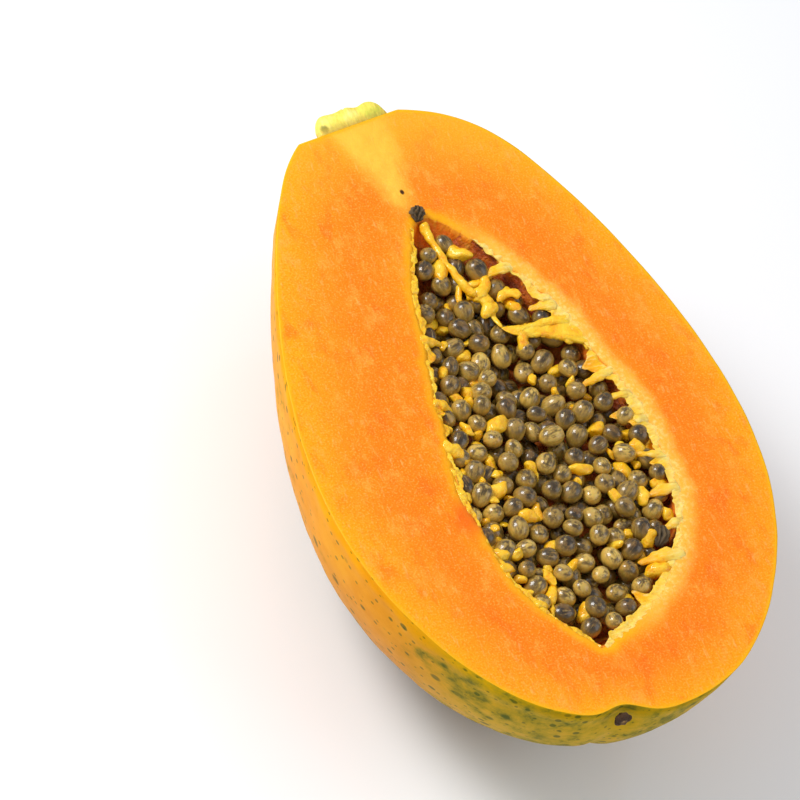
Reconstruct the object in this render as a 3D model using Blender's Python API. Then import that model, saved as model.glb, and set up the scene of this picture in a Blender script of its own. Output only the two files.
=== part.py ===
"""Half of a ripe papaya, cut lengthwise, lying on its rind with the cut face up.

Metres, +Z up. The long axis is Y: the stem end at +Y, the blossom end at -Y.
The cut face is level at z = CUT_Z and the fruit rests on a small flat of its rind at z = 0.
"""

import math
import random

import bmesh
import bpy
from mathutils import Vector

MM = 0.001

# The whole fruit
HALF_LENGTH = 90.0  # from the middle to either end
BOW = 2.2  # how far the middle line bows to +X
DEPTH_RATIO = 0.974  # depth of the half over half its width
RIM_FLAT = 1.4  # how much of the lowest rind the rest spot takes off

# The seed cavity
CAVITY_TOP = 56.0
CAVITY_LENGTH = 126.6
CAVITY_HALF_WIDTH = 28.0
CAVITY_DEPTH_RATIO = 0.92

# The stem stub: a flat seat on the fruit's shoulder, and the knob on it
SEAT_POINT = Vector((-8.2, 86.1, 0.0))
SEAT_NORMAL = Vector((-0.258, 0.966, 0.0)).normalized()
STUB_HALF_WIDTH = 10.4
STUB_DEPTH = 9.0
STUB_HEIGHT = 5.4

# The blossom end
DIMPLE_CENTRE = Vector((-4.6, -89.4, -1.6))
DIMPLE_RADIUS = 4.2
DIMPLE_DEPTH = 3.2
SCAR_RADIUS = 2.2
SCAR_HALF_THICKNESS = 1.2

# Seeds
GAP = 0.35  # clear space between neighbouring pieces
SEED_COUNT = 50
SEED_PITCH = 6.75
BED_DROP = 7.5  # how far the bed's rim lies under the cut face
SEED = 41


def girth(t):
    """Half-width of the fruit at t, which runs from -1 at the stem to +1 at the blossom end."""
    return math.sqrt(max(0.0, 1.0 - t * t)) * (58.1 + 10.9 * t - 8.5 * t**3 + 14.7 * t**8)


def middle(t):
    return BOW * (1.0 - t * t)


def cavity_at(y):
    """Centre and half-width of the cavity's mouth at this y."""
    q = min(1.0, max(0.0, (CAVITY_TOP - y) / CAVITY_LENGTH))
    arch = max(0.0, math.sin(math.pi * q**1.45))
    half = CAVITY_HALF_WIDTH * arch ** (0.433 + 0.35 * q**6)
    centre = -1.0 + 8.2 * math.sin(math.pi * q) ** 0.7 - 2.5 * q**20
    return centre, half


def cavity_floor(x, y):
    centre, half = cavity_at(y)
    inside = half * half - (x - centre) ** 2
    return -CAVITY_DEPTH_RATIO * math.sqrt(inside) if inside > 0.0 else 0.0


def rind_floor(x, y):
    t = max(-1.0, min(1.0, -y / HALF_LENGTH))
    inside = girth(t) ** 2 - (x - middle(t)) ** 2
    return -DEPTH_RATIO * math.sqrt(inside) if inside > 0.0 else 0.0


def outline_point(angle):
    """Edge of the cut face. Angle 0 is the stem end and the turn goes by +X."""
    t = -math.cos(angle)
    side = math.sin(angle) * (58.1 + 10.9 * t - 8.5 * t**3 + 14.7 * t**8)
    return Vector((middle(t) + side, -HALF_LENGTH * t, 0.0))


def mouth_point(angle):
    """Edge of the cavity's mouth, with its slightly uneven line."""
    y = CAVITY_TOP - CAVITY_LENGTH * 0.5 * (1.0 - math.cos(angle))
    centre, half = cavity_at(y)
    wave = 1.0 + 0.022 * math.sin(7.0 * angle + 1.3) + 0.014 * math.sin(13.0 * angle + 0.4)
    return Vector((centre + math.copysign(half, math.sin(angle)) * wave, y, 0.0))


FLOOR_Z = -DEPTH_RATIO * max(girth(i / 400.0) for i in range(200)) + RIM_FLAT
CUT_Z = -FLOOR_Z


def shape_rind(p):
    """Blossom dimple with its groove, flat stem seat and flat rest spot."""
    away = p - DIMPLE_CENTRE
    near = math.exp(-away.length_squared / (2.0 * DIMPLE_RADIUS**2))
    p.y += DIMPLE_DEPTH * near
    if p.y < -60.0 and p.z < -2.0:
        line = math.exp(-(((p.x - DIMPLE_CENTRE.x * (1.0 + p.z / 60.0)) / 3.0) ** 2))
        p.y += 0.9 * line * min(1.0, (-60.0 - p.y) / 20.0)
    over = (p - SEAT_POINT).dot(SEAT_NORMAL)
    if over > 0.0:
        p -= SEAT_NORMAL * over
    p.z = max(p.z, FLOOR_Z)
    return p


def finish(name, bm, colour, roughness):
    """Moves the mesh to the row frame, in metres, and makes the named object."""
    bmesh.ops.recalc_face_normals(bm, faces=bm.faces)
    if bm.calc_volume(signed=True) < 0.0:
        bmesh.ops.reverse_faces(bm, faces=bm.faces)
    for v in bm.verts:
        v.co = (v.co + SHIFT) * MM
    mesh = bpy.data.meshes.new(name)
    bm.to_mesh(mesh)
    bm.free()
    for polygon in mesh.polygons:
        polygon.use_smooth = True
    mat = bpy.data.materials.new(name)
    mat.use_nodes = True
    shader = mat.node_tree.nodes["Principled BSDF"]
    shader.inputs["Base Color"].default_value = (*colour, 1.0)
    shader.inputs["Roughness"].default_value = roughness
    mesh.materials.append(mat)
    obj = bpy.data.objects.new(name, mesh)
    bpy.context.scene.collection.objects.link(obj)
    bpy.context.view_layer.update()
    return obj


def grid_faces(bm, rings, closed=True):
    """Quads between neighbouring rings of the same number of points."""
    for a, b in zip(rings, rings[1:]):
        for i in range(len(a) if closed else len(a) - 1):
            j = (i + 1) % len(a)
            bm.faces.new((a[i], a[j], b[j], b[i]))


def fan(bm, centre, ring):
    for i in range(len(ring)):
        bm.faces.new((ring[i], ring[(i + 1) % len(ring)], centre))


def make_flesh():
    """Rind, flesh and cavity wall in one grown piece: a dome below, a ring on top, a bowl inside."""
    bm = bmesh.new()
    turns = 88
    angles = [2.0 * math.pi * (i + 0.5) / turns for i in range(turns)]
    edge = [outline_point(a) for a in angles]
    mouth = [mouth_point(a) for a in angles]
    low = Vector((4.0, -14.0, 0.0))
    rings = []
    for k in range(17):
        s = math.cos(0.5 * math.pi * k / 17.0)
        ring = []
        for p in edge:
            x, y = low.x + s * (p.x - low.x), low.y + s * (p.y - low.y)
            z = 0.0 if k == 0 else rind_floor(x, y)
            ring.append(bm.verts.new(shape_rind(Vector((x, y, z)))))
        rings.append(ring)
    grid_faces(bm, rings)
    fan(bm, bm.verts.new(Vector((low.x, low.y, FLOOR_Z))), rings[-1])

    lip = [bm.verts.new(p) for p in mouth]
    grid_faces(bm, [rings[0], lip])
    bowl = [lip]
    for k in range(1, 8):
        s = math.cos(0.5 * math.pi * k / 8.0)
        ring = []
        for p in mouth:
            x, y = low.x + s * (p.x - low.x), low.y + s * (p.y - low.y)
            ring.append(bm.verts.new(Vector((x, y, min(-0.2, cavity_floor(x, y))))))
        bowl.append(ring)
    grid_faces(bm, bowl)
    fan(bm, bm.verts.new(Vector((low.x, low.y, cavity_floor(low.x, low.y)))), bowl[-1])
    return finish("flesh_and_rind", bm, (0.95, 0.36, 0.04), 0.42)


def make_stub():
    """The cut half of the stem's knob: two soft bumps with a dip between them."""
    bm = bmesh.new()
    across = Vector((SEAT_NORMAL.y, -SEAT_NORMAL.x, 0.0))
    start = SEAT_POINT + SEAT_NORMAL * GAP
    rings = 7
    turns = 18  # a half circle, from +across by -Z to -across
    top, base = [], []
    for i in range(rings + 1):
        rho = i / rings
        row_top, row_base = [], []
        for j in range(turns + 1):
            phi = math.pi * j / turns
            e = rho * STUB_HALF_WIDTH * math.cos(phi)
            z = -rho * STUB_DEPTH * math.sin(phi)
            dip = 0.9 * math.exp(-(((e - 3.4) / 2.2) ** 2))
            tall = (STUB_HEIGHT - dip) * math.sqrt(max(0.0, 1.0 - rho**5)) + 0.5
            foot = start + across * e + Vector((0.0, 0.0, z))
            row_top.append(bm.verts.new(foot + SEAT_NORMAL * tall))
            row_base.append(bm.verts.new(foot))
        top.append(row_top)
        base.append(row_base)
    grid_faces(bm, top, closed=False)
    grid_faces(bm, base, closed=False)
    grid_faces(bm, [top[-1], base[-1]], closed=False)
    for j in (0, turns):
        for a, b in zip(range(rings), range(1, rings + 1)):
            bm.faces.new((top[a][j], top[b][j], base[b][j], base[a][j]))
    bmesh.ops.remove_doubles(bm, verts=bm.verts, dist=0.0001)
    return finish("stem_stub", bm, (0.62, 0.66, 0.16), 0.6)


def ovoid(bm, centre, axis, long_radius, radius, turns=10, rows=6):
    """A seed: an egg with its long axis along the given direction."""
    turn = Vector((0.0, 0.0, 1.0)).rotation_difference(axis).to_matrix()
    rings = []
    for k in range(1, rows):
        a = math.pi * k / rows
        r = radius * math.sin(a) * (1.0 - 0.10 * math.cos(a))
        ring = []
        for i in range(turns):
            b = 2.0 * math.pi * i / turns
            local = Vector((r * math.cos(b), r * math.sin(b), long_radius * math.cos(a)))
            ring.append(bm.verts.new(centre + turn @ local))
        rings.append(ring)
    grid_faces(bm, rings)
    fan(bm, bm.verts.new(centre + turn @ Vector((0.0, 0.0, long_radius))), rings[0])
    fan(bm, bm.verts.new(centre + turn @ Vector((0.0, 0.0, -long_radius))), rings[-1][::-1])


def make_scar(flesh):
    """The dry brown scar of the flower, lying in the dimple of the blossom end."""
    start = (DIMPLE_CENTRE + Vector((-0.4, -20.0, -1.1)) + SHIFT) * MM
    _, hit, normal, _ = flesh.ray_cast(start, Vector((0.0, 1.0, 0.0)))
    centre = hit / MM - SHIFT + normal * (SCAR_HALF_THICKNESS + GAP)
    bm = bmesh.new()
    ovoid(bm, centre, normal, SCAR_HALF_THICKNESS, SCAR_RADIUS, turns=14, rows=8)
    return finish("blossom_scar", bm, (0.07, 0.035, 0.02), 0.85)


def bed_half_width(y):
    """Half-width of the cavity at the height of the bed's rim."""
    half = cavity_at(y)[1]
    inside = half * half - (BED_DROP / CAVITY_DEPTH_RATIO) ** 2
    return math.sqrt(inside) if inside > 0.0 else 0.0


def room(x, y, z):
    """Distance in mm from a point in the cavity to its wall, near enough for placing seeds."""
    least = 99.0
    for step in (-3.5, 0.0, 3.5):
        centre, half = cavity_at(y + step)
        if half < 1.0:
            return 0.0
        reach = math.hypot((x - centre) / half, z / (CAVITY_DEPTH_RATIO * half))
        least = min(least, half * (1.0 - reach))
    return least


def top_height(x, y):
    """Height of the middle of an upper seed: near the cut face, lower towards the stem end and in
    the hollow that the torn-out seeds have left, and never near the floor of the narrow tip."""
    slope = 4.8 * max(0.0, min(1.0, (y + 6.0) / 50.0)) ** 1.2
    hollow = 4.6 * math.exp(-(((x - 6.5) / 6.5) ** 2) - ((y - 9.0) / 9.0) ** 2)
    return max(-3.4 - slope - hollow, -0.45 * cavity_at(y)[1])


def scatter(rng, count, pitch, taken, drop=0.0, clear=3.45):
    """Points in the cavity, no two closer than the pitch, taken in the order they are found."""
    found = []
    for _ in range(90000):
        if len(found) == count:
            break
        y = rng.uniform(-68.0, 53.0)
        centre, half = cavity_at(y)
        p = Vector((centre + half * rng.uniform(-1.0, 1.0), y, 0.0))
        p.z = top_height(p.x, y) - drop + rng.uniform(-1.2, 0.9)
        if room(*p) < clear:
            continue
        if all((p - other).length >= pitch for other in taken + found):
            found.append(p)
    return found


def make_seeds():
    rng = random.Random(SEED)
    dark = Vector((25.2, -43.0, -2.4))
    seeds = []
    for n, spot in enumerate([dark] + scatter(rng, SEED_COUNT - 1, SEED_PITCH, [dark])):
        tilt = Vector((rng.uniform(-1, 1), rng.uniform(-1, 1), rng.uniform(-0.5, 0.9))).normalized()
        size = rng.uniform(0.93, 1.05)
        seeds.append((spot, 3.0 * size))
        bm = bmesh.new()
        ovoid(bm, spot, tilt, 3.0 * size, 2.45 * size)
        if n == 0:
            finish("dark_seed_side", bm, (0.03, 0.02, 0.015), 0.7)
        else:
            finish(f"seed_{n:02d}", bm, (0.16, 0.14, 0.08), 0.25)
    return seeds


def make_bed(seeds):
    """The seeds and pulp below, joined in one lumpy body with a socket under each upper seed."""
    rng = random.Random(SEED + 1)
    lower = scatter(rng, 190, 4.7, [], drop=3.2, clear=2.0)
    ys = [y / 2.0 for y in range(-140, 112) if bed_half_width(y / 2.0) > 1.2]
    rows, cols = 58, 18
    bm = bmesh.new()
    tops, lows = [], []
    for i in range(rows + 1):
        y = ys[0] + (ys[-1] - ys[0]) * i / rows
        centre, _ = cavity_at(y)
        row_top, row_low = [], []
        for j in range(cols + 1):
            u = 2.0 * j / cols - 1.0
            x = centre + 0.97 * bed_half_width(y) * (0.65 * u + 0.35 * math.sin(0.5 * math.pi * u))
            floor = cavity_floor(x, y) + GAP + 0.35
            z = top_height(x, y) - 4.6
            for p in lower:
                d2 = (x - p.x) ** 2 + (y - p.y) ** 2
                if d2 < 6.8:
                    z = max(z, top_height(x, y) - 4.6 + 1.8 * (1.0 - d2 / 6.8))
            for spot, long_radius in seeds:
                reach = long_radius + 1.0
                d2 = (x - spot.x) ** 2 + (y - spot.y) ** 2
                if d2 < reach * reach:
                    z = min(z, spot.z - math.sqrt(reach * reach - d2))
            border = i in (0, rows) or j in (0, cols)
            row_low.append(bm.verts.new((x, y, floor)))
            row_top.append(row_low[-1] if border else bm.verts.new((x, y, max(z, floor + 0.6))))
        tops.append(row_top)
        lows.append(row_low)
    grid_faces(bm, tops, closed=False)
    grid_faces(bm, lows, closed=False)
    return finish("seed_bed", bm, (0.24, 0.13, 0.04), 0.5)


def make_tip_seed():
    """The shrivelled seed stuck at the cavity's tip, just proud of the cut face."""
    bm = bmesh.new()
    ovoid(bm, Vector((-2.6, 56.9, 1.7)), Vector((0.3, 1.0, 0.2)).normalized(), 2.2, 1.3, turns=8, rows=6)
    return finish("dark_seed_tip", bm, (0.02, 0.015, 0.01), 0.9)


for old in list(bpy.data.objects):
    bpy.data.objects.remove(old, do_unlink=True)

# The row's origin is the middle of the whole thing's underside.
WIDEST = [outline_point(2.0 * math.pi * i / 720.0).x for i in range(720)]
STUB_TOP = SEAT_POINT.y + (GAP + STUB_HEIGHT + 0.5) * SEAT_NORMAL.y + 0.8
SHIFT = Vector((-0.5 * (min(WIDEST) + max(WIDEST)), 0.5 * (HALF_LENGTH - STUB_TOP), CUT_Z))

make_scar(make_flesh())
make_stub()
make_bed(make_seeds())
make_tip_seed()
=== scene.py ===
"""Half of a ripe papaya, cut lengthwise and lying on its rind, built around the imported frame."""

import math
import random

import bmesh
import bpy
import numpy as np
from mathutils import Matrix, Vector, noise


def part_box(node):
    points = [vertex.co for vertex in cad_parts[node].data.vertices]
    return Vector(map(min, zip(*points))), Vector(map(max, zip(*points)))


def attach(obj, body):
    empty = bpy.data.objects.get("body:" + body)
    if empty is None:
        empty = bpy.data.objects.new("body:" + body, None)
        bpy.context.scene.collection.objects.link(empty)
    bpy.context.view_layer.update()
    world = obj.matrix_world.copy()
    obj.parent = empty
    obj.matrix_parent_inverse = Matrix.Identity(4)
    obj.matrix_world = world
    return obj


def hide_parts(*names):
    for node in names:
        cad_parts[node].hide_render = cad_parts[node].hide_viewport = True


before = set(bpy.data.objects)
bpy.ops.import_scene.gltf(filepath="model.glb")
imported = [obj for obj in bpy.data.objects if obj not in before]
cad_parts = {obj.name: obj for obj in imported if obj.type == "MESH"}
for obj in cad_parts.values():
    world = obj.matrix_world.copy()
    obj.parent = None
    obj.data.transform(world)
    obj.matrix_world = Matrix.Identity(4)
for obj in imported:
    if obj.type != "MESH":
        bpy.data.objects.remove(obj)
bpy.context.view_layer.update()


# ---------------------------------------------------------------------------
# Flesh and rind. The fruit itself, grown in one piece: a thin waxy yellow rind with green
# patches and freckles, and thick moist orange flesh round the seed cavity. A knife has opened
# it from the stem to the blossom end.

MM = 0.001
MIDDLE = Vector((-2.14, -1.47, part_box("flesh_and_rind")[1].z / MM))  # of the cut face, in mm
LOWEST = np.array((4.0, -14.0))  # where the rind and the cavity are deepest, in x and y
HALF_LENGTH = 90.0
BELLY_SHIFT = 2.2
DEPTH_RATIO = 0.974
CAVITY_TOP = 56.0
CAVITY_LENGTH = 126.6
CAVITY_DEPTH_RATIO = 0.92
SEAT_POINT = np.array((-8.2, 86.1, 0.0))
SEAT_NORMAL = np.array((-0.258, 0.966, 0.0)) / math.hypot(0.258, 0.966)
DIMPLE_CENTRE = np.array((-4.6, -89.4, -1.6))


def fullness(t):
    """Half-width in mm at this share of the length, before the ends round it off."""
    return 58.1 + 10.9 * t - 8.5 * t**3 + 14.7 * t**8


def girth(t):
    return np.sqrt(np.maximum(0.0, 1.0 - t * t)) * fullness(t)


def cavity_at(y):
    """Centre and half-width of the cavity's mouth at this y, in mm."""
    q = np.clip((CAVITY_TOP - np.asarray(y, float)) / CAVITY_LENGTH, 0.0, 1.0)
    arch = np.maximum(0.0, np.sin(math.pi * q**1.45))
    half = 28.0 * arch ** (0.433 + 0.35 * q**6)
    return -1.0 + 8.2 * np.sin(math.pi * q) ** 0.7 - 2.5 * q**20, half


def cavity_floor(x, y):
    centre, half = cavity_at(y)
    return -CAVITY_DEPTH_RATIO * np.sqrt(np.maximum(0.0, half**2 - (x - centre) ** 2))


def rind_floor(x, y):
    t = np.clip(-y / HALF_LENGTH, -1.0, 1.0)
    return -DEPTH_RATIO * np.sqrt(np.maximum(0.0, girth(t) ** 2 - (x - BELLY_SHIFT * (1.0 - t * t)) ** 2))


def ripple(points, size, seed=0.0):
    """Smooth noise, about -1 to 1, whose bumps are the given size in mm."""
    shift = Vector((seed * 7.3, seed * 3.1, seed * 5.7))
    return np.array([noise.noise(Vector(p) / size + shift) for p in points])


def shaped_rind(p):
    """The blossom dimple with its groove, the stem's seat and the flat the fruit rests on."""
    away = p - DIMPLE_CENTRE
    p[:, 1] += 3.2 * np.exp(-np.einsum("ij,ij->i", away, away) / (2.0 * 4.2**2))
    line = np.exp(-(((p[:, 0] - DIMPLE_CENTRE[0] * (1.0 + p[:, 2] / 60.0)) / 3.0) ** 2))
    blossom = np.clip((-60.0 - p[:, 1]) / 20.0, 0.0, 1.0) * (p[:, 2] < -2.0)
    p[:, 1] += 0.9 * line * blossom
    over = np.maximum(0.0, (p - SEAT_POINT) @ SEAT_NORMAL)
    p -= over[:, None] * SEAT_NORMAL
    p[:, 2] = np.maximum(p[:, 2], -MIDDLE.z)
    return p


def face_outward(mesh, joined_within=0.0):
    """Turns the faces outward. Points this close, which meet at a pole, are joined first."""
    shell = bmesh.new()
    shell.from_mesh(mesh)
    if joined_within:
        bmesh.ops.remove_doubles(shell, verts=shell.verts, dist=joined_within)
    bmesh.ops.recalc_face_normals(shell, faces=shell.faces)
    shell.to_mesh(mesh)
    shell.free()


def mesh_object(name, points_mm, faces, materials, face_slots=None):
    """A mesh from points in mm round the middle of the cut face."""
    mesh = bpy.data.meshes.new(name)
    placed = (np.asarray(points_mm, float) + np.array(MIDDLE)) * MM
    mesh.from_pydata([tuple(p) for p in placed], [], faces)
    face_outward(mesh)
    for material in materials:
        mesh.materials.append(material)
    if face_slots is not None:
        mesh.polygons.foreach_set("material_index", face_slots)
    mesh.polygons.foreach_set("use_smooth", [True] * len(mesh.polygons))
    mesh.update()
    made = bpy.data.objects.new(name, mesh)
    bpy.context.scene.collection.objects.link(made)
    return made


def band(a, b, turns):
    """Faces between two closed rings of points that start at a and b."""
    return [(a + i, a + (i + 1) % turns, b + (i + 1) % turns, b + i) for i in range(turns)]


def fan(a, turns, tip):
    """Faces between a closed ring of points that starts at a and one point."""
    return [(a + i, a + (i + 1) % turns, tip) for i in range(turns)]


def sleeve(rows, turns):
    """Faces of a closed body made of this many bands, with a flat face at each end."""
    faces = [tuple(range(turns))[::-1], tuple(range(rows * turns, (rows + 1) * turns))]
    for k in range(rows):
        faces += band(k * turns, (k + 1) * turns, turns)
    return faces


def middle_of(node):
    """Middle of the box of a node in the frame, in mm from the middle of the cut face."""
    low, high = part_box(node)
    return (np.array(low) + np.array(high)) / 2.0 / MM - np.array(MIDDLE)


def write_attribute(mesh, name, values):
    mesh.attributes.new(name, "FLOAT", "POINT").data.foreach_set("value", np.asarray(values, np.float32))


def linear(red, green, blue):
    """A paint-chart colour of 0 to 255 as the linear numbers that a shader takes."""
    return tuple(((c / 255 + 0.055) / 1.055) ** 2.4 if c > 10 else c / 3295 for c in (red, green, blue))


class Field:
    """One value in a finish's node tree. Sums and products of fields add Math nodes."""

    def __init__(self, finish, socket):
        self.finish, self.socket = finish, socket

    def math(self, operation, *values):
        return self.finish.node("ShaderNodeMath", {"operation": operation}, dict(enumerate(values)))

    def __add__(self, other):
        return self.math("ADD", self, other)

    def __sub__(self, other):
        return self.math("SUBTRACT", self, other)

    def __rsub__(self, other):
        return self.math("SUBTRACT", other, self)

    def __mul__(self, other):
        return self.math("MULTIPLY", self, other)

    def __truediv__(self, other):
        return self.math("DIVIDE", self, other)

    def __pow__(self, other):
        return self.math("POWER", self, other)

    __radd__, __rmul__ = __add__, __mul__

    def away(self, other, squeeze=1.0):
        """Distance of a pair of fields from zero, with the second one squeezed."""
        return (self * self + other * other * squeeze) ** 0.5

    def over(self, low, high):
        """0 below low, 1 above high, and smooth between."""
        ends = {0: self, 1: low, 2: high, 3: 0.0, 4: 1.0}
        if low > high:
            ends.update({1: high, 2: low, 3: 1.0, 4: 0.0})
        return self.finish.node("ShaderNodeMapRange", {"interpolation_type": "SMOOTHSTEP"}, ends)


class Finish:
    """A material on one Principled shader, with its pattern written as expressions."""

    def __init__(self, name, **fixed):
        self.material = bpy.data.materials.new(name)
        self.material.use_nodes = True
        self.tree = self.material.node_tree
        self.shader = self.tree.nodes["Principled BSDF"]
        self.wear(**fixed)

    def put(self, socket, value):
        if isinstance(value, Field):
            self.tree.links.new(value.socket, socket)
        elif isinstance(value, tuple) and len(value) == 3 and socket.type == "RGBA":
            socket.default_value = (*value, 1.0)
        else:
            socket.default_value = value

    def node(self, kind, settings=None, inputs=None, output=0):
        made = self.tree.nodes.new(kind)
        for key, value in (settings or {}).items():
            setattr(made, key, value)
        for key, value in (inputs or {}).items():
            self.put(made.inputs[key], value)
        return Field(self, made.outputs[output])

    def place(self, scale=(1.0, 1.0, 1.0), turn=(0.0, 0.0, 0.0)):
        """Object coordinates in mm, stretched or turned."""
        coordinates = self.node("ShaderNodeTexCoord", output=3)
        settings = {0: coordinates, 2: turn, 3: tuple(s / MM for s in scale)}
        return self.node("ShaderNodeMapping", {}, settings)

    def attribute(self, name, output=2):
        return self.node("ShaderNodeAttribute", {"attribute_name": name}, output=output)

    def noise(self, at, size, detail=3.0, rough=0.55):
        inputs = {"Vector": at, "Scale": 1.0 / size, "Detail": detail, "Roughness": rough}
        return self.node("ShaderNodeTexNoise", {}, inputs)

    def cells(self, at, size, output=0):
        return self.node("ShaderNodeTexVoronoi", {}, {"Vector": at, "Scale": 1.0 / size}, output)

    def blend(self, share, first, second):
        return self.node("ShaderNodeMix", {"data_type": "RGBA"}, {0: share, 6: first, 7: second}, 2)

    def tint(self, colour, share, *chart):
        """Blends in a paint-chart colour."""
        return self.blend(share, colour, linear(*chart))

    def ramp(self, at, *stops):
        """A run of colours, each stop with its place and its paint-chart colour."""
        made = self.node("ShaderNodeValToRGB", {}, {0: at})
        elements = made.socket.node.color_ramp.elements
        while len(elements) < len(stops):
            elements.new(0.5)
        for element, (place, *chart) in zip(elements, stops):
            element.position, element.color = place, (*linear(*chart), 1.0)
        return made

    def split(self, vector, axis):
        return self.node("ShaderNodeSeparateXYZ", {}, {0: vector}, axis)

    def bump(self, height, depth_mm, strength):
        inputs = {"Strength": strength, "Distance": depth_mm * MM, "Height": height}
        return self.node("ShaderNodeBump", {}, inputs)

    def wear(self, **parts):
        """Sets the shader's inputs and gives the material."""
        for key, value in parts.items():
            self.put(self.shader.inputs[key.replace("_", " ")], value)
        return self.material


def cut_flesh_finish():
    f = Finish("cut_flesh", Subsurface_Weight=0.22, Subsurface_Scale=0.004, IOR=1.42,
               Specular_IOR_Level=0.28, Subsurface_Radius=(1.0, 0.42, 0.12))
    at = f.place()
    skin, mouth = f.attribute("skin_mm"), f.attribute("mouth_mm")
    x, y = (f.split(at, axis) - MIDDLE[axis] for axis in (0, 1))
    broad = f.noise(at, 22.0, 3.0)
    drift = f.noise(at, 7.0, 4.0)
    share = skin / (skin + mouth + 0.01) + (broad - 0.5) * 0.35 + (drift - 0.5) * 0.14
    colour = f.ramp(
        share,
        (0.0, 250, 164, 0),
        (0.14, 250, 155, 8),
        (0.36, 248, 141, 10),
        (0.58, 246, 127, 4),
        (0.8, 246, 130, 2),
        (1.0, 248, 146, 6),
    )
    blush = f.noise(f.place((1.0, 0.55, 1.0)), 5.5, 5.0, 0.6).over(0.5, 0.74)
    colour = f.tint(colour, blush * 0.6, 244, 104, 8)
    cloud = f.noise(f.place((1.0, 0.6, 1.0), (0.0, 0.0, 0.1)), 3.4, 6.0, 0.68)
    colour = f.tint(colour, cloud.over(0.5, 0.68) * 0.55, 253, 166, 62)
    # Pale streaks along the length: painted wet sheen on the fibres.
    pale = f.noise(f.place((1.0, 0.3, 1.0), (0.0, 0.0, 0.15)), 1.3, 3.0, 0.6).over(0.56, 0.78)
    colour = f.tint(colour, pale * 0.6, 254, 178, 96)
    grain = f.noise(at, 0.5, 2.0, 0.6)
    colour = f.tint(colour, grain.over(0.5, 0.72) * 0.5, 254, 184, 92)
    colour = f.tint(colour, grain.over(0.5, 0.3) * 0.4, 238, 106, 0)
    core_line = x + 4.0 + (y - 56.0) * 0.14 + (drift - 0.5) * 5.0
    core = (core_line.math("ABSOLUTE", core_line) - (y - 56.0) * 0.26).over(4.5, -2.5)
    core = core * (y + (drift - 0.5) * 14.0).over(48.0, 66.0)
    colour = f.tint(colour, core * (0.3 + 0.9 * cloud), 253, 202, 74)
    edge_y = (y - 60.0).over(0.0, 28.0)
    colour = f.tint(colour, edge_y * 0.4, 252, 176, 44)
    speck = (x + 3.5).away(y - 63.8, 0.5)
    colour = f.tint(colour, (speck + (drift - 0.5) * 0.8).over(0.75, 0.35), 70, 40, 14)
    yellow_edge = (mouth + (drift - 0.5) * 3.0).over(3.4, 0.6)
    colour = f.tint(colour, yellow_edge * x.over(16.0, 2.0) * 0.85, 250, 172, 4)
    fibre = f.noise(at, 1.1, 5.0, 0.7)
    cream_edge = (mouth + (drift - 0.5) * 4.0 + (fibre - 0.5) * 3.0).over(5.4, 1.2)
    colour = f.tint(colour, cream_edge * x.over(4.0, 16.0) * 0.7, 253, 190, 66)
    strings = cream_edge * x.over(10.0, 20.0) * fibre.over(0.44, 0.68)
    colour = f.tint(colour, strings * 0.7, 253, 218, 132)
    sore = ((x + 22.5).away(y + 31.0, 0.4) + (drift - 0.5) * 4.0).over(5.5, 1.0)
    colour = f.tint(colour, sore * 0.7, 236, 84, 8)
    rim = (skin + (drift - 0.5) * 1.2).over(1.5, 0.0)
    colour = f.tint(colour, rim * 0.85, 246, 176, 2)
    wet = f.noise(at, 1.8, 4.0, 0.6)
    rough = 0.36 + 0.22 * wet
    height = wet * 0.6 + grain * 0.25 + pale * 0.3
    return f.wear(Base_Color=colour, Roughness=rough, Normal=f.bump(height, 0.35, 0.55))


def rind_finish():
    f = Finish("rind", IOR=1.38, Specular_IOR_Level=0.16)
    at = f.place()
    long = f.place((1.0, 0.5, 1.0))
    x, y, z = (f.split(at, axis) for axis in range(3))
    broad = f.noise(at, 34.0, 3.0)
    patch = f.noise(long, 15.0, 5.0, 0.6)
    mottle = f.noise(long, 4.0, 5.0, 0.65)
    colour = f.ramp(
        broad * 0.6 + mottle * 0.4,
        (0.3, 246, 172, 2),
        (0.5, 238, 156, 0),
        (0.7, 222, 136, 0),
    )
    # Towards the table (low) the rind turns tan on the left and gets more green, deep green and grey
    # patches: partly the rind's own colour, partly painted shade on the underside.
    low = z.over(46.0, 8.0)
    blossom = y.over(-46.0, -84.0)
    left = x.over(10.0, -30.0)
    colour = f.tint(colour, low * left * 0.75, 206, 142, 52)
    colour = f.tint(colour, blossom * (0.4 + 0.5 * mottle), 182, 166, 2)
    green = (patch * 0.7 + mottle * 0.7 + low * 0.12 + blossom * 0.16).over(0.74, 0.98)
    colour = f.tint(colour, green * 0.6, 126, 128, 28)
    deep = (patch * 0.6 + mottle * 0.9 + low * 0.1 + blossom * 0.18).over(0.94, 1.12)
    colour = f.tint(colour, deep * 0.65, 72, 84, 24)
    grey = f.noise(long, 6.0, 5.0, 0.65).over(0.5, 0.66) * low
    colour = f.tint(colour, grey * 0.6, 134, 130, 84)
    # Darker olive-brown lowest down: the rind's own olive, and painted shade where it faces the table.
    colour = f.tint(colour, z.over(30.0, 3.0) * (0.5 + 0.4 * mottle), 84, 72, 12)
    drawn = f.place((1.0, 0.62, 1.0))
    wobble = (mottle - 0.5) * 0.12
    for size, limit, strength in ((6.0, 0.14, 0.7), (3.1, 0.17, 0.75), (1.7, 0.17, 0.6)):
        spot = f.cells(drawn, size)
        chance = f.split(f.cells(drawn, size, 1), 0)
        reach = chance * limit * 1.5
        fleck = (spot + wobble - reach).over(0.06, -0.04) * chance.over(0.25, 0.6)
        colour = f.tint(colour, fleck * strength, 64, 84, 10)
    pores = f.noise(at, 0.7, 2.0)
    swell = f.noise(at, 6.0, 3.0)
    rough = 0.42 + 0.16 * mottle + 0.1 * green
    height = pores * 0.12 + swell * 0.8
    return f.wear(Base_Color=colour, Roughness=rough, Normal=f.bump(height, 0.5, 0.35))


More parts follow.
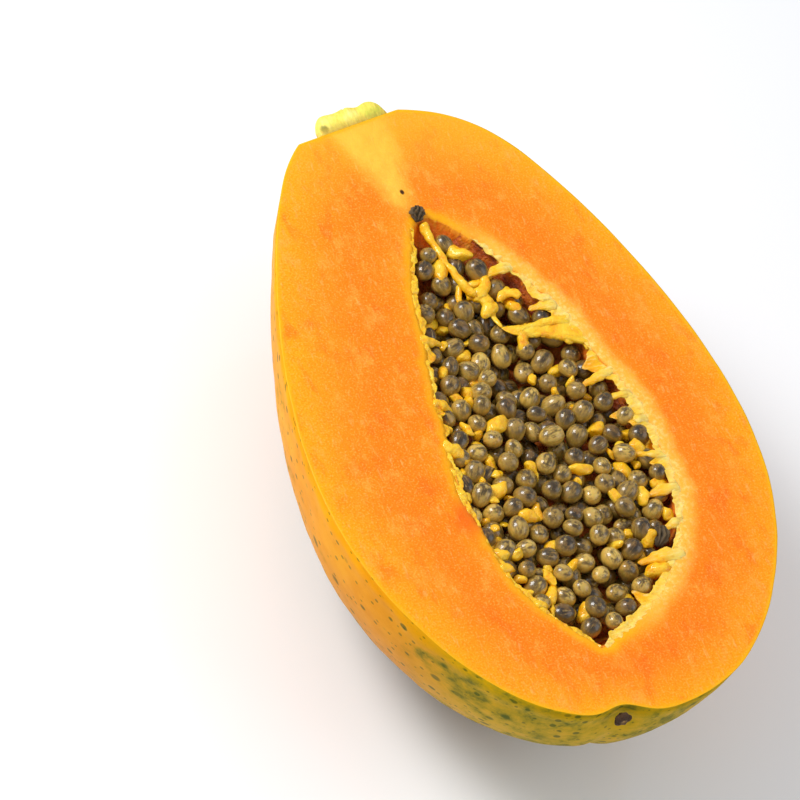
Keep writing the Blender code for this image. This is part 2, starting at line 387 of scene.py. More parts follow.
def cavity_wall_finish():
    f = Finish("cavity_wall", Subsurface_Weight=0.2, Subsurface_Scale=0.003, IOR=1.42,
               Subsurface_Radius=(1.0, 0.4, 0.1))
    at = f.place()
    depth = f.attribute("mouth_mm") * -1.0
    fibre = f.noise(f.place((0.7, 1.6, 0.5)), 1.2, 5.0, 0.7)
    patch = f.noise(at, 5.0, 3.0)
    # Orange at the mouth, turning dark red-brown deeper in the cavity: painted shade in the hollow.
    colour = f.ramp(
        depth / 16.0 + (patch - 0.5) * 0.5,
        (0.0, 252, 158, 24),
        (0.2, 250, 124, 10),
        (0.5, 230, 88, 6),
        (1.0, 150, 48, 6),
    )
    colour = f.tint(colour, fibre.over(0.52, 0.72) * 0.6, 255, 190, 60)
    return f.wear(Base_Color=colour, Roughness=0.3 + 0.3 * fibre, Normal=f.bump(fibre + patch, 0.9, 0.8))


def make_papaya_half():
    turns, rind_rings, face_rings, bowl_rings = 640, 46, 36, 26
    angle = (np.arange(turns) + 0.5) * 2.0 * math.pi / turns
    t = -np.cos(angle)
    side = np.sin(angle) * fullness(t)
    edge = np.stack((BELLY_SHIFT * (1.0 - t * t) + side, -HALF_LENGTH * t, 0.0 * t), axis=1)
    edge *= 1.0 - 0.002 * (1.0 + ripple(edge, 9.0))[:, None]

    y = CAVITY_TOP - CAVITY_LENGTH * 0.5 * (1.0 - np.cos(angle))
    centre, half = cavity_at(y)
    wave = 1.0 + 0.022 * np.sin(7.0 * angle + 1.3) + 0.014 * np.sin(13.0 * angle + 0.4)
    mouth = np.stack((centre + np.sign(np.sin(angle)) * half * wave, y, 0.0 * y), axis=1)
    inward = mouth - np.append(LOWEST, 0.0)
    inward /= np.linalg.norm(inward, axis=1)[:, None]
    ragged = 0.9 * ripple(mouth, 5.0, 1) + 0.55 * ripple(mouth, 1.9, 2) + 0.3 * ripple(mouth, 0.8, 3)
    mouth += inward * ragged[:, None]

    face_slot, rind_slot, wall_slot = 0, 1, 2
    rings, slots = [], []
    for k in range(1, rind_rings):
        s = math.cos(0.5 * math.pi * (1.0 - k / rind_rings))
        ring = LOWEST + s * (edge[:, :2] - LOWEST)
        ring = np.column_stack((ring, rind_floor(ring[:, 0], ring[:, 1])))
        outward = ring / np.array((58.0, 90.0, 57.0)) ** 2
        outward /= np.linalg.norm(outward, axis=1)[:, None]
        dent = 0.5 * (1.0 + ripple(ring, 17.0, 4)) + 0.14 * (1.0 + ripple(ring, 5.0, 5))
        ring -= outward * (dent * 0.9 * min(1.0, -ring[:, 2].max() / 4.0 + 0.02))[:, None]
        rings.append(shaped_rind(ring))
        slots.append(rind_slot)
    rim = shaped_rind(edge.copy())
    rings.append(rim)
    slots.append(face_slot)
    for k in range(1, face_rings + 1):
        f = 0.012 if k == 1 else (k - 1) / (face_rings - 1)
        ring = rim + (mouth - rim) * f
        to_mouth = np.linalg.norm(mouth - rim, axis=1) * (1.0 - f)
        roll = np.exp(-to_mouth / 0.7) * 0.55
        ring[:, 2] = 0.10 * ripple(ring, 6.0, 6) - 0.10 + 0.05 * ripple(ring, 1.6, 7) - roll
        ring[:, 2] = np.minimum(ring[:, 2], 0.0)
        rings.append(ring)
        slots.append(face_slot)
    slots[-1] = wall_slot
    for k in range(1, bowl_rings):
        s = math.cos(0.5 * math.pi * k / bowl_rings)
        ring = LOWEST + s * (mouth[:, :2] - LOWEST)
        ring = np.column_stack((ring, np.minimum(-0.9, cavity_floor(ring[:, 0], ring[:, 1]))))
        shaggy = 0.8 * ripple(ring, 4.0, 8) + 0.5 * ripple(ring, 1.6, 9)
        ring[:, 2] += shaggy * min(1.0, k / 4.0)
        rings.append(ring)
        slots.append(wall_slot)
    bottom = np.array([[*LOWEST, -MIDDLE.z]])
    bowl = np.array([[*LOWEST, float(cavity_floor(*LOWEST))]])
    points = np.concatenate([bottom, *rings, bowl])

    faces = fan(1, turns, 0)
    face_slots = [rind_slot] * turns
    for k in range(len(rings) - 1):
        faces += band(1 + k * turns, 1 + (k + 1) * turns, turns)
        face_slots += [slots[k]] * turns
    faces += fan(1 + (len(rings) - 1) * turns, turns, len(points) - 1)
    face_slots += [wall_slot] * turns
    finishes = [cut_flesh_finish(), rind_finish(), cavity_wall_finish()]
    made = mesh_object("papaya_half", points, faces, finishes, face_slots)
    skin_mm = np.zeros(len(points))
    mouth_mm = np.zeros(len(points))
    first = 1 + (rind_rings - 1) * turns
    for k in range(face_rings + bowl_rings):
        part = slice(first + k * turns, first + (k + 1) * turns)
        ring = points[part]
        if k <= face_rings:
            for measured, line in ((skin_mm, rim), (mouth_mm, mouth)):
                gap = ring[:, None, :2] - line[None, :, :2]
                measured[part] = np.sqrt((gap**2).sum(2).min(1))
        else:
            mouth_mm[part] = ring[:, 2]
            skin_mm[part] = 30.0
    mouth_mm[-1] = points[-1][2]
    write_attribute(made.data, "skin_mm", skin_mm)
    write_attribute(made.data, "mouth_mm", mouth_mm)
    return made


papaya_half = make_papaya_half()
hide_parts("flesh_and_rind")
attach(papaya_half, "root")


# ---------------------------------------------------------------------------
# Stem stub. The cut half of the stalk's knob, dry and yellow-green, with two soft bumps.
# It grows out of the shoulder of the fruit, and its cut side is level with the cut face.

def stub_finish():
    f = Finish("stem_skin", Subsurface_Weight=0.1, Subsurface_Scale=0.002)
    at = f.place()
    patch = f.noise(at, 5.0, 4.0)
    fine = f.noise(f.place((1.0, 0.35, 1.0)), 1.0, 4.0, 0.65)
    colour = f.ramp(
        patch * 0.7 + fine * 0.3,
        (0.3, 206, 196, 60),
        (0.5, 250, 228, 92),
        (0.7, 255, 240, 140),
    )
    x, y = (f.split(at, axis) - MIDDLE[axis] for axis in (0, 1))
    spot = ((x + 16.8).away(y - 85.4) + (fine - 0.5) * 1.2).over(1.7, 0.7)
    colour = f.tint(colour, spot * 0.75, 96, 96, 14)
    root = f.attribute("height_mm").over(2.6, 0.0)
    colour = f.tint(colour, root * 0.7, 253, 206, 84)
    tip = ((x + 1.6).away(y - 89.0) + (patch - 0.5) * 3.0).over(3.4, 1.0)
    colour = f.tint(colour, tip * 0.45, 186, 200, 60)
    return f.wear(Base_Color=colour, Roughness=0.5 + 0.2 * fine, Normal=f.bump(fine + patch, 0.5, 0.7))


def make_stub():
    across = np.array((SEAT_NORMAL[1], -SEAT_NORMAL[0], 0.0))
    start = SEAT_POINT + SEAT_NORMAL * 0.05
    rings, turns = 22, 60
    rows, heights = [], []
    for i in range(1, rings + 1):
        rho = i / rings
        phi = np.linspace(0.0, math.pi, turns + 1)
        e = rho * 10.4 * np.cos(phi)
        z = -rho * 9.0 * np.sin(phi)
        dip = 1.1 * np.exp(-(((e - 3.4) / 2.2) ** 2))
        bumps = 0.22 * np.sin(e * 0.7 + 0.6) + 0.2 * np.sin(z * 0.9 + e * 0.4)
        tall = (5.0 - dip + bumps) * math.sqrt(max(0.0, 1.0 - rho**6)) + 0.45
        foot = start + across * e[:, None] + np.column_stack((0 * z, 0 * z, z))
        rows.append((foot + SEAT_NORMAL * tall[:, None], foot))
        heights.append(tall)
    peak = start + SEAT_NORMAL * 5.1
    points = [start, peak]
    height = [0.0, 5.0]
    top, base = [], []
    for (over, under), tall in zip(rows, heights):
        top.append(range(len(points), len(points) + turns + 1))
        points += list(over)
        height += list(tall)
        base.append(range(len(points), len(points) + turns + 1))
        points += list(under)
        height += [0.0] * (turns + 1)
    faces = []
    for j in range(turns):
        faces.append((1, top[0][j + 1], top[0][j]))
        faces.append((0, base[0][j], base[0][j + 1]))
        faces.append((top[-1][j], top[-1][j + 1], base[-1][j + 1], base[-1][j]))
        for a, b in zip(top, top[1:]):
            faces.append((a[j], a[j + 1], b[j + 1], b[j]))
        for a, b in zip(base, base[1:]):
            faces.append((a[j + 1], a[j], b[j], b[j + 1]))
    faces.append((0, 1, top[0][0], base[0][0]))
    faces.append((1, 0, base[0][-1], top[0][-1]))
    for i in range(rings - 1):
        faces.append((top[i][0], top[i + 1][0], base[i + 1][0], base[i][0]))
        faces.append((top[i + 1][-1], top[i][-1], base[i][-1], base[i + 1][-1]))
    made = mesh_object("stem_knob", points, faces, [stub_finish()])
    write_attribute(made.data, "height_mm", height)
    return made


stem_knob = make_stub()
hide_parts("stem_stub")
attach(stem_knob, "root")


# ---------------------------------------------------------------------------
# Blossom scar. Where the flower fell off: a small dry brown button with a paler heart,
# sitting in the dimple of the blossom end.

def scar_finish():
    f = Finish("dry_scar")
    at = f.place()
    fine = f.noise(at, 0.5, 5.0, 0.7)
    heart = f.attribute("heart")
    colour = f.blend(fine, linear(36, 20, 10), linear(96, 62, 30))
    colour = f.tint(colour, heart * 0.8, 196, 150, 84)
    return f.wear(Base_Color=colour, Roughness=0.75 + 0.15 * fine, Normal=f.bump(fine, 0.5, 1.0))


def make_scar():
    middle = middle_of("blossom_scar")
    points, heart = [], []
    turns, rows = 48, 16
    for k in range(rows + 1):
        a = math.pi * k / rows
        for i in range(turns):
            b = 2.0 * math.pi * i / turns
            lobes = 1.0 + 0.16 * math.sin(5.0 * b + 0.5) + 0.06 * math.sin(11.0 * b)
            r = 1.95 * math.sin(a) * (lobes if 0 < k < rows else 1.0)
            out = 1.15 * math.cos(a) - 0.5 * math.exp(-((r / 0.8) ** 2))
            points.append(middle + np.array((r * math.cos(b), -out, r * math.sin(b))))
            heart.append(math.exp(-((r / 0.55) ** 2)) if k < rows / 2 else 0.0)
    faces = []
    for k in range(rows):
        faces += band(k * turns, (k + 1) * turns, turns)
    made = mesh_object("blossom_button", points, faces, [scar_finish()])
    write_attribute(made.data, "heart", heart)
    face_outward(made.data, 1e-7)
    return made


blossom_button = make_scar()
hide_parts("blossom_scar")
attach(blossom_button, "root")


# ---------------------------------------------------------------------------
# Seed pulp. The wet, stringy lining under the seeds, dark in its hollows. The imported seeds
# hide most of it.

def top_height(x, y):
    """Height of the middle of an upper seed, in mm from the cut face."""
    slope = 4.8 * np.clip((y + 6.0) / 50.0, 0.0, 1.0) ** 1.2
    hollow = 4.6 * np.exp(-(((x - 6.5) / 6.5) ** 2) - ((y - 9.0) / 9.0) ** 2)
    return np.maximum(-3.4 - slope - hollow, -0.45 * cavity_at(y)[1])


def pulp_finish():
    f = Finish("seed_pulp", Subsurface_Weight=0.15, Subsurface_Scale=0.003)
    at = f.place()
    patch = f.noise(at, 4.0, 4.0, 0.6)
    fibre = f.noise(f.place((1.3, 0.6, 1.0)), 1.0, 4.0, 0.7)
    colour = f.ramp(
        patch,
        (0.33, 104, 44, 8),
        (0.45, 190, 78, 6),
        (0.58, 228, 118, 8),
        (0.72, 250, 176, 30),
    )
    return f.wear(Base_Color=colour, Roughness=0.25 + 0.3 * fibre, Normal=f.bump(fibre + patch, 1.0, 0.9))


def make_pulp():
    rows, cols = 120, 56
    spread = np.sin(0.5 * math.pi * np.linspace(-1.0, 1.0, cols + 1)) * 0.985
    wall = np.clip(1.0 - np.abs(spread), 0.0, 1.0)
    points = []
    for y in np.linspace(-67.0, 50.0, rows + 1):
        centre, half = cavity_at(y)
        x = centre + half * spread
        floor = cavity_floor(x, y) - 0.4
        under = np.column_stack((x, np.full(cols + 1, y), floor))
        lift = top_height(x, y) - 6.6 + 1.7 * ripple(under, 5.0, 11) + 0.8 * ripple(under, 2.2, 12)
        top = under.copy()
        top[:, 2] = np.maximum(lift + 2.4 * np.exp(-wall * 9.0), floor + 0.8)
        points += [*top, *under[::-1]]
    return mesh_object("seed_pulp", points, sleeve(rows, 2 * (cols + 1)), [pulp_finish()])


seed_pulp = make_pulp()
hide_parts("seed_bed")
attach(seed_pulp, "root")


# ---------------------------------------------------------------------------
# Seeds. Olive-grey to black seeds like peppercorns, each in a clear wet jacket with fine veins.
# They crowd the cavity. The upper ones include those of the frame, in its places, and the rest
# fill in between and below by rule.

def room(x, y, z):
    """Distance in mm from a point in the cavity to its wall."""
    least = 99.0
    for step in (-3.0, 0.0, 3.0):
        centre, half = cavity_at(y + step)
        if half < 1.0:
            return 0.0
        reach = math.hypot((x - centre) / half, z / (CAVITY_DEPTH_RATIO * half))
        least = min(least, float(half * (1.0 - reach)))
    return least


def seed_finish():
    f = Finish("seed_jacket", IOR=1.38, Subsurface_Weight=0.15, Subsurface_Scale=0.001,
               Coat_Roughness=0.05, Coat_IOR=1.42)
    local = f.attribute("seed_place", 1)
    tone = f.attribute("tone")
    up = f.attribute("up")
    shift = f.node("ShaderNodeCombineXYZ", {}, {0: tone * 31.0, 1: tone * 17.0, 2: tone * 23.0})
    spot = f.node("ShaderNodeVectorMath", {"operation": "ADD"}, {0: local, 1: shift})
    drawn = f.node("ShaderNodeVectorMath", {"operation": "MULTIPLY"}, {0: spot, 1: (1.0, 1.0, 0.22)})
    veins = f.noise(drawn, 0.2, 3.0, 0.6)
    cloud = f.noise(spot, 0.8, 3.0)
    dark = f.blend(tone, linear(36, 24, 12), linear(98, 76, 30))
    lit = f.blend(tone, linear(104, 72, 28), linear(212, 176, 84))
    colour = f.blend((cloud + (veins - 0.5) * 0.7).over(0.36, 0.64), dark, lit)
    # Golden on the sides that face neither up nor down: painted glow of light through the clear jacket.
    jelly_glow = up.over(0.9, 0.3) * up.over(-0.3, 0.2)
    colour = f.tint(colour, jelly_glow * (0.3 + 0.4 * tone), 214, 170, 70)
    colour = f.tint(colour, veins.over(0.6, 0.7) * 0.4, 206, 186, 120)
    # Warm dark brown on the undersides: painted shade, with a painted warm reflection from the yellow
    # tissue.
    colour = f.tint(colour, up.over(0.1, -0.6) * 0.8, 120, 62, 8)
    tail = f.split(local, 2).over(-0.8, -1.0)
    colour = f.tint(colour, tail * 0.35, 214, 160, 50)
    return f.wear(
        Base_Color=colour,
        Roughness=0.3 + 0.2 * cloud,
        Coat_Weight=1.0,
        Normal=f.bump(veins * 0.6 + cloud * 0.5, 0.2, 0.5),
    )


class Nodes:
    """A Geometry Nodes tree, written node by node, with named inputs."""

    def __init__(self, name, inputs):
        self.tree = bpy.data.node_groups.new(name, "GeometryNodeTree")
        face = self.tree.interface
        face.new_socket("Geometry", in_out="INPUT", socket_type="NodeSocketGeometry")
        for label, kind in inputs:
            face.new_socket(label, in_out="INPUT", socket_type=kind)
        face.new_socket("Geometry", in_out="OUTPUT", socket_type="NodeSocketGeometry")
        self.start = self.tree.nodes.new("NodeGroupInput")

    def add(self, kind, settings=None, inputs=None):
        made = self.tree.nodes.new(kind)
        for key, value in (settings or {}).items():
            setattr(made, key, value)
        for key, value in (inputs or {}).items():
            if isinstance(value, bpy.types.NodeSocket):
                self.tree.links.new(value, made.inputs[key])
            else:
                made.inputs[key].default_value = value
        return made.outputs

    def given(self, label):
        return self.start.outputs[label]

    def copies(self, shape):
        """A real copy of the shape at each point, with that point's turn and size."""
        kind = {"data_type": "FLOAT_VECTOR"}
        turn = self.add("GeometryNodeInputNamedAttribute", kind, {"Name": "turn"})[0]
        scale = self.add("GeometryNodeInputNamedAttribute", kind, {"Name": "size"})[0]
        where = {"Points": self.given("Geometry"), "Instance": shape, "Rotation": turn, "Scale": scale}
        placed = self.add("GeometryNodeInstanceOnPoints", {}, where)[0]
        return self.add("GeometryNodeRealizeInstances", {}, {0: placed})[0]

    def end(self, geometry):
        """Gives the geometry its finish and makes it what the tree returns."""
        inputs = {"Geometry": geometry, "Material": self.given("Finish")}
        finished = self.add("GeometryNodeSetMaterial", {}, inputs)[0]
        output = self.tree.nodes.new("NodeGroupOutput")
        self.tree.links.new(finished, output.inputs[0])

    def grow(self, name, source, values):
        """Runs the tree on a mesh of points and returns the plain mesh it makes, as an object."""
        modifier = source.modifiers.new(name, "NODES")
        modifier.node_group = self.tree
        for item in self.tree.interface.items_tree:
            if item.in_out == "INPUT" and item.name in values:
                modifier[item.identifier] = values[item.name]
        bpy.context.view_layer.update()
        graph = bpy.context.evaluated_depsgraph_get()
        mesh = bpy.data.meshes.new_from_object(source.evaluated_get(graph))
        mesh.name = name
        bpy.data.objects.remove(source, do_unlink=True)
        made = bpy.data.objects.new(name, mesh)
        bpy.context.scene.collection.objects.link(made)
        return made


def point_cloud(name, spots_mm, turns, sizes, tones):
    """Bare points that carry what Geometry Nodes need for each copy."""
    made = mesh_object(name, spots_mm, [], [])
    for label, values in (("turn", turns), ("size", sizes)):
        attribute = made.data.attributes.new(label, "FLOAT_VECTOR", "POINT")
        attribute.data.foreach_set("vector", np.asarray(values, np.float32).ravel())
    write_attribute(made.data, "tone", tones)
    return made


def seed_tree():
    n = Nodes("seeds_in_jackets", [("Radius", "NodeSocketFloat"), ("Finish", "NodeSocketMaterial")])
    ball = n.add("GeometryNodeMeshUVSphere", {}, {"Segments": 16, "Rings": 10, "Radius": 1.0})["Mesh"]
    place = n.add("GeometryNodeInputPosition")[0]
    kept = n.add(
        "GeometryNodeStoreNamedAttribute",
        {"data_type": "FLOAT_VECTOR", "domain": "POINT"},
        {"Geometry": ball, "Name": "seed_place", "Value": place},
    )[0]
    parts = n.add("ShaderNodeSeparateXYZ", {}, {0: place})
    taper = n.add("ShaderNodeMath", {"operation": "MULTIPLY_ADD"}, {0: parts[2], 1: 0.1, 2: 1.0})[0]
    wide = n.add("ShaderNodeMath", {"operation": "MULTIPLY"}, {0: taper, 1: n.given("Radius")})[0]
    size = n.add("ShaderNodeCombineXYZ", {}, {0: wide, 1: wide, 2: n.given("Radius")})[0]
    spot = n.add("ShaderNodeVectorMath", {"operation": "MULTIPLY"}, {0: place, 1: size})[0]
    egg = n.add("GeometryNodeSetPosition", {}, {"Geometry": kept, "Position": spot})[0]
    smooth = n.add("GeometryNodeSetShadeSmooth", {}, {0: egg})[0]
    whole = n.copies(smooth)
    # How far each point faces up, from which the seed finish paints a glow at the sides and shade
    # underneath.
    facing = n.add("ShaderNodeSeparateXYZ", {}, {0: n.add("GeometryNodeInputNormal")[0]})
    told = n.add(
        "GeometryNodeStoreNamedAttribute", {"data_type": "FLOAT", "domain": "POINT"},
        {"Geometry": whole, "Name": "up", "Value": facing[2]},
    )[0]
    n.end(told)
    return n


def long_axis(node):
    """Middle and long direction of a seed in the frame."""
    co = np.array([v.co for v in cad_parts[node].data.vertices]) / MM
    middle = (co.min(0) + co.max(0)) / 2.0
    _, vectors = np.linalg.eigh(np.cov((co - middle).T))
    return middle - np.array(MIDDLE), Vector(vectors[:, 2])


seed_nodes = sorted(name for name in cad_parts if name.startswith("seed_") and name != "seed_bed")
dark_spots = [middle_of(name) for name in ("dark_seed_side", "dark_seed_tip")]

SEED_TRIES = 16000
rng = random.Random(7)
spots, axes, widths, tones = [], [], [], []


def plant(spot, width, tone, axis=None):
    spots.append(np.array(spot, float))
    if axis is None:
        axis = Vector((rng.uniform(-1, 1), rng.uniform(-1, 1), rng.uniform(-0.7, 1.0))).normalized()
    axes.append(axis)
    widths.append(width)
    tones.append(tone)


def gap_at(p):
    taken = np.array(spots + dark_spots[:1])
    return math.sqrt(((taken - p) ** 2).sum(1).min())


def crown(x, y):
    """Height of the seeds in sight, in mm: near the cut face where the cavity narrows."""
    return max(float(top_height(x, y)), -0.32 * float(cavity_at(y)[1]))


def under_tissue(x, y):
    """Whether a place is under the rib from the tip or the web from the right wall."""
    rib_x = -1.2 + 6.6 * min(1.0, max(0.0, (54.5 - y) / 22.5)) ** 1.6
    off_web = abs((x - 31.0) * 0.345 + (y - 14.6) * 0.94)
    return (y > 29.0 and abs(x - rib_x) < 2.3) or (9.0 < x < 31.0 and off_web < 2.6)


def fill_in(count, apart, drop, spread, clear, palest=0.8):
    """Adds seeds where there is room for them, each with its top below the cut face."""
    added = 0
    for _ in range(SEED_TRIES):
        if added == count:
            break
        y = rng.uniform(-68.5, 54.0)
        centre, half = (float(v) for v in cavity_at(y))
        x = centre + half * rng.uniform(-1.0, 1.0)
        width = rng.uniform(2.1, 2.85)
        height = min(crown(x, y) - drop + rng.uniform(-spread, spread), -width * 1.05 - 0.3)
        if under_tissue(x, y):
            height = min(height, -width - 3.2)
        p = np.array((x, y, height))
        if gap_at(p) > apart and room(*p) > clear:
            plant(p, width, rng.random() ** 1.3 * palest * (0.45 if y > 22.0 else 1.0))
            added += 1


for name in seed_nodes:
    spot, axis = long_axis(name)
    paleness = rng.random() * (0.45 if spot[1] > 22.0 else 1.0)
    plant(spot, rng.uniform(2.4, 2.75), paleness, axis if rng.random() < 0.5 else -axis)
fill_in(78, 4.75, -0.2, 1.5, 0.9, 1.0)
fill_in(60, 4.8, 1.6, 1.3, 1.4)
fill_in(90, 4.8, 3.6, 1.2, 1.6)
fill_in(60, 4.8, 6.0, 1.0, 1.6)

turns = [tuple(axis.to_track_quat("Z", "Y").to_euler()) for axis in axes]
sizes = []
for width in widths:
    sizes.append((width, width * rng.uniform(0.93, 1.03), width * rng.uniform(1.08, 1.24)))
seeds = seed_tree().grow(
    "seeds",
    point_cloud("seed_points", spots, turns, sizes, tones),
    {"Radius": 1.0 * MM, "Finish": seed_finish()},
)
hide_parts(*seed_nodes)
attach(seeds, "root")


# ---------------------------------------------------------------------------
# Dark seeds. Two seeds that dried up: one stuck at the cavity's tip, rough as a burr, and one
# at the right wall, wrinkled lengthwise.

def dry_seed_finish():
    f = Finish("dry_seed")
    at = f.place()
    fine = f.noise(at, 0.4, 4.0, 0.7)
    crest = f.attribute("crest")
    # Lighter on the crests and darker in the furrows: painted shade in the wrinkles.
    colour = f.blend(crest * 0.8 + fine * 0.3, linear(22, 14, 8), linear(104, 82, 48))
    return f.wear(Base_Color=colour, Roughness=0.45 + 0.3 * fine, Normal=f.bump(fine, 0.3, 0.8))


def shrivelled(middle, axis, long_radius, radius, ridges, depth, seed):
    """A dried seed: an ovoid pulled into crests along its length."""
    frame_turn = axis.normalized().to_track_quat("Z", "Y").to_matrix()
    points, crest, faces = [], [], []
    around, rows = 56, 30
    for k in range(rows + 1):
        a = math.pi * k / rows
        for i in range(around):
            b = 2.0 * math.pi * i / around
            way = Vector((math.sin(a) * math.cos(b), math.sin(a) * math.sin(b), math.cos(a)))
            wave = 0.5 + 0.5 * math.sin(ridges * b + 2.5 * math.sin(2.0 * a + seed))
            knot = 0.5 + 0.8 * noise.noise(way * 3.6 + Vector((seed, 0, 0)))
            high = (wave * 0.6 + knot * 0.6) * math.sin(a)
            r = 1.0 - depth * (1.0 - high)
            points.append(np.array(middle) + np.array(frame_turn @ Vector(
                (way.x * radius * r, way.y * radius * r, way.z * long_radius * (0.85 + 0.15 * r)))))
            crest.append(min(1.0, high))
        if k:
            faces += band((k - 1) * around, k * around, around)
    return points, crest, faces


def make_dry_seeds():
    made = []
    finish = dry_seed_finish()
    settings = (
        ("dry_seed_side", dark_spots[0], Vector((0.6, 1.0, 0.1)), 3.3, 2.3, 9, 0.5, 1.0),
        ("dry_seed_tip", dark_spots[1] + np.array((0.4, -0.4, -1.3)), Vector((0.3, 1.0, 0.2)),
         2.6, 2.25, 7, 0.85, 3.0),
    )
    for name, *shape in settings:
        points, crest, faces = shrivelled(*shape)
        piece = mesh_object(name, points, faces, [finish])
        write_attribute(piece.data, "crest", crest)
        face_outward(piece.data, 1e-7)
        made.append(piece)
    return made


dry_seed_side, dry_seed_tip = make_dry_seeds()
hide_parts("dark_seed_side")
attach(dry_seed_side, "root")
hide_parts("dark_seed_tip")
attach(dry_seed_tip, "root")


# ---------------------------------------------------------------------------
# Seed stalks and strands. Soft yellow tissue that holds the seeds: rounded ends of torn stalks
# between them, a rib down from the cavity's tip, and a stretched web from the right wall.

def strand_finish():
    f = Finish("yellow_tissue", Subsurface_Weight=0.2, Subsurface_Scale=0.0015, IOR=1.4,
               Subsurface_Radius=(1.0, 0.6, 0.15))
    at = f.place()
    patch = f.noise(at, 3.0, 3.0)
    fibre = f.noise(at, 0.7, 4.0, 0.65)
    colour = f.ramp(
        patch * 0.6 + fibre * 0.4,
        (0.34, 240, 152, 0),
        (0.46, 252, 186, 6),
        (0.6, 253, 206, 46),
        (0.76, 253, 226, 124),
    )
    return f.wear(Base_Color=colour, Roughness=0.22 + 0.3 * fibre, Coat_Weight=0.4,
                  Normal=f.bump(fibre + patch, 0.5, 0.7))


def tube(path, radii, flat=1.0, around=12, steps=7, seed=0.0, lumps=0.28):
    """A soft tapering strand through these points, in mm: its points, faces and share of its length."""
    keys = np.array(path, float)
    fine, thick = [], []
    for i in range(len(keys) - 1):
        p0, p1 = keys[max(i - 1, 0)], keys[i]
        p2, p3 = keys[i + 1], keys[min(i + 2, len(keys) - 1)]
        for s in np.linspace(0.0, 1.0, steps, endpoint=i == len(keys) - 2):
            bend = 2 * p0 - 5 * p1 + 4 * p2 - p3
            fine.append(0.5 * (2 * p1 + (p2 - p0) * s + bend * s**2 + (3 * p1 - p0 - 3 * p2 + p3) * s**3))
            thick.append(radii[i] * (1 - s) + radii[i + 1] * s)
    for k, share in ((0, 0.45), (1, 0.8), (-1, 0.4), (-2, 0.75)):
        thick[k] *= share
    points, faces, along = [], [], []
    for k, (p, r) in enumerate(zip(fine, thick)):
        ahead = Vector(fine[min(k + 1, len(fine) - 1)]) - Vector(fine[max(k - 1, 0)])
        aside = ahead.cross(Vector((0, 0, 1))).normalized()
        up = aside.cross(ahead).normalized()
        for i in range(around):
            b = 2.0 * math.pi * i / around
            reach = (aside * math.cos(b) + up * math.sin(b) * flat) * r
            swell = 1.0 + lumps * noise.noise((Vector(p) + reach) / 1.8 + Vector((seed, 0, 0)))
            points.append(Vector(p) + reach * swell)
            along.append(k / (len(fine) - 1))
        if k:
            faces += band((k - 1) * around, k * around, around)
    for end in (0, len(fine) - 1):
        ahead = Vector(fine[end]) - Vector(fine[end + (1 if end == 0 else -1)])
        points.append(Vector(fine[end]) + ahead.normalized() * thick[end] * 0.6)
        along.append(1.0 if end else 0.0)
        faces += fan(end * around, around, len(points) - 1)
    return points, faces, along


def joined(name, shapes, finish):
    points, faces, along = [], [], []
    for more, links, shares in shapes:
        faces += [tuple(i + len(points) for i in face) for face in links]
        points += list(more)
        along += list(shares)
    made = mesh_object(name, points, faces, [finish])
    write_attribute(made.data, "along", along)
    return made


STRANDS = (
    # the rib from the tip, and where it frays into the seeds
    (((-1.2, 54.5, -1.2), (-0.4, 49.0, -1.6), (1.0, 42.0, -2.0), (3.2, 36.5, -2.4), (5.4, 32.0, -3.0)),
     (1.5, 0.95, 0.9, 1.1, 1.2), 1.0),
    (((4.2, 34.0, -4.2), (6.6, 33.0, -3.6), (9.0, 34.6, -3.0), (10.6, 38.2, -3.2)),
     (1.4, 1.8, 1.6, 1.1), 0.8),
    (((3.0, 36.5, -4.0), (1.6, 33.0, -4.4), (1.0, 29.0, -5.0)), (0.9, 0.7, 0.6), 1.0),
    (((6.0, 33.4, -3.8), (8.4, 30.4, -3.8), (8.6, 26.6, -4.2), (9.2, 22.6, -3.6)),
     (2.1, 1.9, 0.7, 0.5), 0.6),
    (((10.4, 28.8, -4.0), (8.0, 28.4, -3.6), (5.8, 26.4, -4.2)), (1.3, 1.6, 0.9), 0.8),
    # the web from the right wall
    (((31.0, 14.6, -1.5), (26.0, 17.4, -1.5), (19.6, 19.6, -2.2), (13.4, 20.4, -2.9), (9.2, 22.6, -3.7)),
     (3.9, 3.4, 2.5, 1.7, 0.6), 0.26),
    (((29.4, 13.6, -1.4), (24.4, 15.6, -1.5), (18.4, 18.2, -2.2), (12.8, 19.2, -3.2)),
     (1.0, 0.9, 0.8, 0.8), 0.9),
    (((26.4, 20.6, -1.2), (21.4, 21.4, -1.6), (16.8, 21.2, -2.3), (12.2, 20.4, -3.0)),
     (1.7, 1.2, 0.9, 0.9), 0.6),
    (((13.8, 20.2, -3.0), (13.0, 17.4, -3.6), (13.2, 14.6, -5.0)), (1.4, 1.5, 0.9), 0.8),
    (((16.8, 30.4, -1.6), (13.4, 31.8, -2.6), (11.2, 30.4, -3.6)), (1.5, 1.1, 0.8), 0.6),
)
shapes = [tube(path, radii, flat, 16, 8, float(i), 0.5) for i, (path, radii, flat) in enumerate(STRANDS)]
strands = joined("strands", shapes, strand_finish())
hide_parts("seed_bed")
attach(strands, "root")


